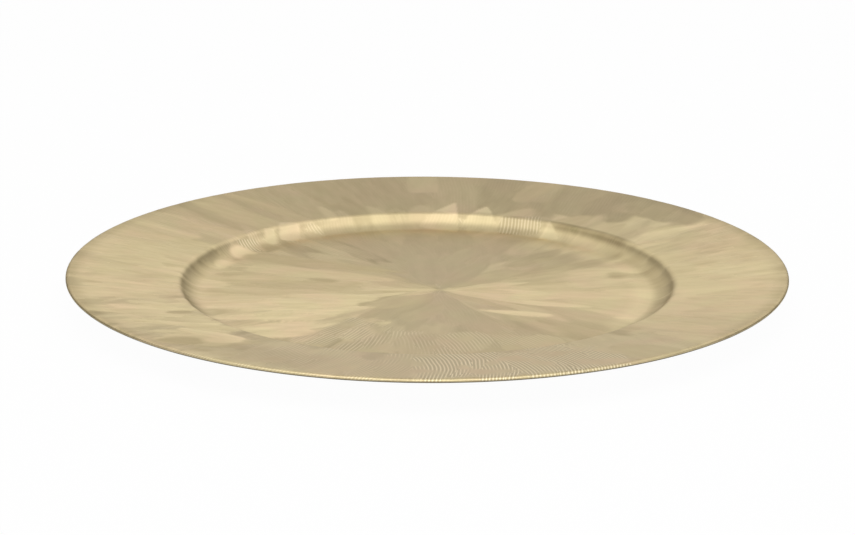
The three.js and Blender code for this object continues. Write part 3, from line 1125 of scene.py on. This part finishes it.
@dataclass
class PlateBody:
    """The moulded body: the side under the film, the underside, the foot ring and the gate mark.

    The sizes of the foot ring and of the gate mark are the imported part's (millimetres, degrees).

    Attributes:
        section: The plate's section.
        finish: Its finish.
        columns: Steps round the axis.
        rows: Steps along the section.
        bond_gap: Gap to the film, so that their faces don't lie in one place.
        lip_gap: Turn between the film's end and the body's bare edge.
        turn_start: Share of the film's turn over the edge at which the body's own rings set in.
        edge_end: Turn over the edge at which the underside takes over.
        foot_inset: Edge of the flat floor in to the outside of the foot ring.
        foot_width: Width of the foot ring at the table.
        foot_draft: How much wider each side of the ring is at its root.
        foot_round: Radius of its lower corners.
        foot_steps: Points on each of those corners.
        gate_diameter: Width of the gate mark's dish.
        gate_depth: Depth of the dish.
        vestige_diameter: Width of the stub of the sprue, at its root.
        vestige_height: Height of the stub.
        vestige_taper: Width of the stub's end, as a share of its root's.
    """

    section: PlateSection
    finish: MouldedPlastic
    columns: int = 360
    rows: Rows = Rows(floor=2, cove=10, shoulder=6, rim=3, crown=4, edge=8)
    bond_gap: float = 0.02
    lip_gap: float = 1.6
    turn_start: float = 0.25
    edge_end: float = 170.0
    foot_inset: float = 6.3
    foot_width: float = 2.6
    foot_draft: float = 0.5
    foot_round: float = 0.4
    foot_steps: int = 6
    gate_diameter: float = 9.0
    gate_depth: float = 0.4
    vestige_diameter: float = 2.4
    vestige_height: float = 0.25
    vestige_taper: float = 0.9

    def foot(self) -> np.ndarray:
        """Gives the foot ring's section from its outer root to its inner root, with round corners."""
        outer = self.section.floor_radius - self.foot_inset
        inner = outer - self.foot_width
        quarter = np.radians(np.linspace(0.0, 90.0, self.foot_steps))
        drop = self.foot_round * (1.0 - np.sin(quarter))
        bulge = self.foot_round * (1.0 - np.cos(quarter))
        root = self.section.foot_height
        rows = [[outer + self.foot_draft, root]]
        rows += np.stack([outer - bulge, drop], -1).tolist()
        rows += np.stack([inner + bulge, drop], -1)[::-1].tolist()
        rows += [[inner - self.foot_draft, root]]
        return np.array(rows)

    def gate(self) -> np.ndarray:
        """Gives the gate mark's section: a shallow dish with the stub of the sprue in it."""
        root = self.section.foot_height
        top = root + self.gate_depth
        stub = self.vestige_diameter / 2.0
        dish = self.gate_diameter / 2.0
        end = [stub * self.vestige_taper, top - self.vestige_height]
        return np.array([[dish, root], [dish - self.gate_depth, top], [stub, top], end])

    def build(self) -> bpy.types.Object:
        """Makes the body as one profile carried round the axis.

        The profile runs out along the bond, round the edge, back along the underside, down and up
        the foot ring, and into the gate mark.

        Returns:
            The body's object.
        """
        section = self.section
        face = section.face(self.rows)
        depth, outer = section.film + self.bond_gap, section.wall / 2.0
        wrap = section.film_wrap + self.lip_gap
        turned = section.edge(face, outer - depth, (self.turn_start * wrap, wrap), self.rows.edge)
        bare = section.edge(face, outer, (wrap, self.edge_end), self.rows.edge)
        bond = face.below(depth).join(turned).join(bare)
        under = face.below(section.wall)
        profile = np.concatenate([
            np.stack([bond.r, bond.z], -1),
            np.stack([under.r, under.z], -1)[self.rows.floor - 1 :][::-1],
            self.foot(),
            self.gate(),
        ])
        angle = FULL_TURN * np.arange(self.columns) / self.columns
        r, z = profile[:, 0, None], profile[:, 1, None]
        rings = np.stack(np.broadcast_arrays(r * np.cos(angle), r * np.sin(angle), z), -1)
        top = np.array([0.0, 0.0, bond.z[0]])
        end = np.array([0.0, 0.0, profile[-1, 1]])
        mesh = polar_mesh("moulded_body", rings, top, end)
        length = np.cumsum(np.hypot(*np.diff(profile, axis=0, prepend=[[0.0, bond.z[0]]]).T))
        sides = np.split(length, [len(bond.r)])
        lay_flat(mesh, self.columns, sides[0], length[-1] + profile[-1, 0] - sides[1], False)
        piece = show(mesh, self.finish.material())
        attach(piece, Body.ROOT.value)
        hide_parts("plate_body")
        return piece


@dataclass(frozen=True)
class Panel:
    """A flat panel that faces the plate: a softbox or a card (millimetres; a radiance of 1 is white)."""

    name: str
    place: tuple[float, float, float]
    size: tuple[float, float]
    radiance: float


@dataclass
class Studio:
    """White sweep, softboxes, cards and the photograph's camera (millimetres, degrees, pixels).

    Attributes:
        elevation: Height of the camera over the table, as an angle.
        distance: Distance of the camera from what it looks at.
        focal_px: Focal length, in pixels of the photograph.
        roll: Turn of the camera about its line of sight.
        aim: Place that the camera looks at.
        sight: Furthest that the camera sees.
        floor_size: Side of the square floor.
        floor_shift: How far its middle lies behind the plate.
        floor_white: Share of plain white in what the floor shows; the rest is lit paper.
        paper: Colour of the paper.
        fill: Radiance of the surroundings as fill light.
        lamps: Softboxes.
        cards: Upright cards that the plate's metal reflects and the camera doesn't see.
    """

    elevation: float = 16.26
    distance: float = 1300.0
    focal_px: float = 2830.0
    roll: float = 0.23
    aim: tuple[float, float, float] = (0.09, -0.31, 13.84)
    sight: float = 100000.0
    floor_size: float = 8000.0
    floor_shift: float = 700.0
    floor_white: float = 0.975
    paper: str = "#F4F4F2"
    fill: float = 0.5
    lamps: tuple[Panel, ...] = (
        Panel("softbox_overhead", (0.0, -340.0, 1200.0), (1300.0, 1420.0), 1.5),
        Panel("softbox_front", (1000.0, -900.0, 550.0), (350.0, 350.0), 2.2),
    )
    cards: tuple[Panel, ...] = (
        Panel("card_left", (-1100.0, 600.0, 390.0), (1700.0, 780.0), 0.0),
        Panel("card_right", (1100.0, 600.0, 390.0), (1700.0, 780.0), 0.0),
        Panel("card_back", (0.0, 2000.0, 1050.0), (1800.0, 800.0), 0.77),
    )

    def build(self) -> None:
        """Makes the floor, the cards, the light and the camera."""
        self.lay_sweep()
        self.stand_cards()
        self.hang_lamps()
        self.surround()
        self.set_camera()
        bpy.context.scene.view_settings.view_transform = "Standard"

    def shown_white(self, tree: bpy.types.NodeTree) -> bpy.types.NodeSocket:
        """Adds the test of whether a ray is one that sees the white background.

        Args:
            tree: The node tree of the world or of the floor.

        Returns:
            A socket that is 1 for camera, glossy and transmission rays.
        """
        path = add(tree, "LightPath")
        seen, *others = (path[ray.value] for ray in Ray)
        for other in others:
            seen = add(tree, "Math", {0: seen, 1: other}, operation="MAXIMUM")[0]
        return seen

    def lay_sweep(self) -> None:
        """Makes the pale floor: matt paper that keeps a faint shadow and shows white to the camera."""
        half, back = self.floor_size / 2.0 * MM, self.floor_shift * MM
        corners = [(-half, back - half), (half, back - half), (half, back + half), (-half, back + half)]
        mesh = bpy.data.meshes.new("paper_sweep")
        mesh.from_pydata([(x, y, 0.0) for x, y in corners], [], [(0, 1, 2, 3)])
        material = bpy.data.materials.new("paper_matt_white")
        tree = emptied(material)
        paper = add(tree, "BsdfDiffuse", {"Color": linear(self.paper)})[0]
        white = add(tree, "Emission", {"Color": WHITE, "Strength": 1.0})[0]
        rays = self.shown_white(tree)
        share = add(tree, "Math", {0: rays, 1: self.floor_white}, operation="MULTIPLY")[0]
        seen = add(tree, "MixShader", {0: share, 1: paper, 2: white})[0]
        clear = add(tree, "BsdfTransparent")[0]
        below = add(tree, "NewGeometry")["Backfacing"]
        both = add(tree, "MixShader", {0: below, 1: seen, 2: clear})[0]
        add(tree, "OutputMaterial", {"Surface": both})
        show(mesh, material)

    def stand_cards(self) -> None:
        """Stands the cards round the plate, each square to the line to the plate's axis."""
        for card in self.cards:
            centre = np.array(card.place)
            across = np.array([-centre[1], centre[0], 0.0]) / np.hypot(*centre[:2]) * card.size[0] / 2.0
            up = np.array([0.0, 0.0, card.size[1] / 2.0])
            mesh = bpy.data.meshes.new(card.name)
            corners = centre + np.array([-across - up, across - up, across + up, up - across])
            mesh.from_pydata((corners * MM).tolist(), [], [(0, 1, 2, 3)])
            material = bpy.data.materials.new("card_grey")
            tree = emptied(material)
            grey = add(tree, "Emission", {"Color": WHITE, "Strength": card.radiance})[0]
            add(tree, "OutputMaterial", {"Surface": grey})
            piece = show(mesh, material)
            piece.visible_camera = False

    def hang_lamps(self) -> None:
        """Hangs the softboxes; a lamp's power is pi times its area times the radiance that it shows."""
        for box in self.lamps:
            lamp = bpy.data.lights.new(box.name, "AREA")
            lamp.shape = "RECTANGLE"
            lamp.size, lamp.size_y = (side * MM for side in box.size)
            lamp.energy = box.radiance * math.pi * lamp.size * lamp.size_y
            hung = bpy.data.objects.new(box.name, lamp)
            hung.location = Vector(box.place) * MM
            hung.rotation_euler = (-hung.location).to_track_quat("-Z", "Y").to_euler()
            bpy.context.scene.collection.objects.link(hung)

    def surround(self) -> None:
        """Makes the white surroundings: white to the rays that show them, dimmer as fill light."""
        world = bpy.data.worlds.new("white_studio")
        tree = emptied(world)
        shown = add(tree, "Background", {"Color": WHITE, "Strength": 1.0})[0]
        fill = add(tree, "Background", {"Color": WHITE, "Strength": self.fill})[0]
        both = add(tree, "MixShader", {0: self.shown_white(tree), 1: fill, 2: shown})[0]
        add(tree, "OutputWorld", {"Surface": both})
        bpy.context.scene.world = world

    def set_camera(self) -> None:
        """Sets the camera by the photograph: its lens, height and slight roll."""
        data = bpy.data.cameras.new("camera")
        data.sensor_width = SENSOR_MM
        data.lens = self.focal_px * SENSOR_MM / IMAGE_WIDTH
        data.clip_end = self.sight * MM
        rise = math.radians(self.elevation)
        back = Vector((0.0, -math.cos(rise), math.sin(rise)))
        camera = bpy.data.objects.new("camera", data)
        camera.location = (Vector(self.aim) + back * self.distance) * MM
        level = (-back).to_track_quat("-Z", "Y").to_matrix()
        camera.rotation_euler = (level @ Matrix.Rotation(math.radians(self.roll), 3, "Z")).to_euler()
        bpy.context.scene.collection.objects.link(camera)
        bpy.context.scene.camera = camera


def main() -> None:
    """Builds the plate and the studio."""
    logging.basicConfig(level=logging.INFO, format="%(name)s: %(message)s")
    section = PlateSection()
    Studio().build()
    body = PlateBody(section, MouldedPlastic())
    film = GoldFace(section, BrushStrokes(), MetallisedFilm())
    for part in (body, film):
        piece = part.build()
        piece.data.calc_loop_triangles()
        log.info("%s: %d triangles", piece.name, len(piece.data.loop_triangles))


if __name__ == "__main__":
    main()
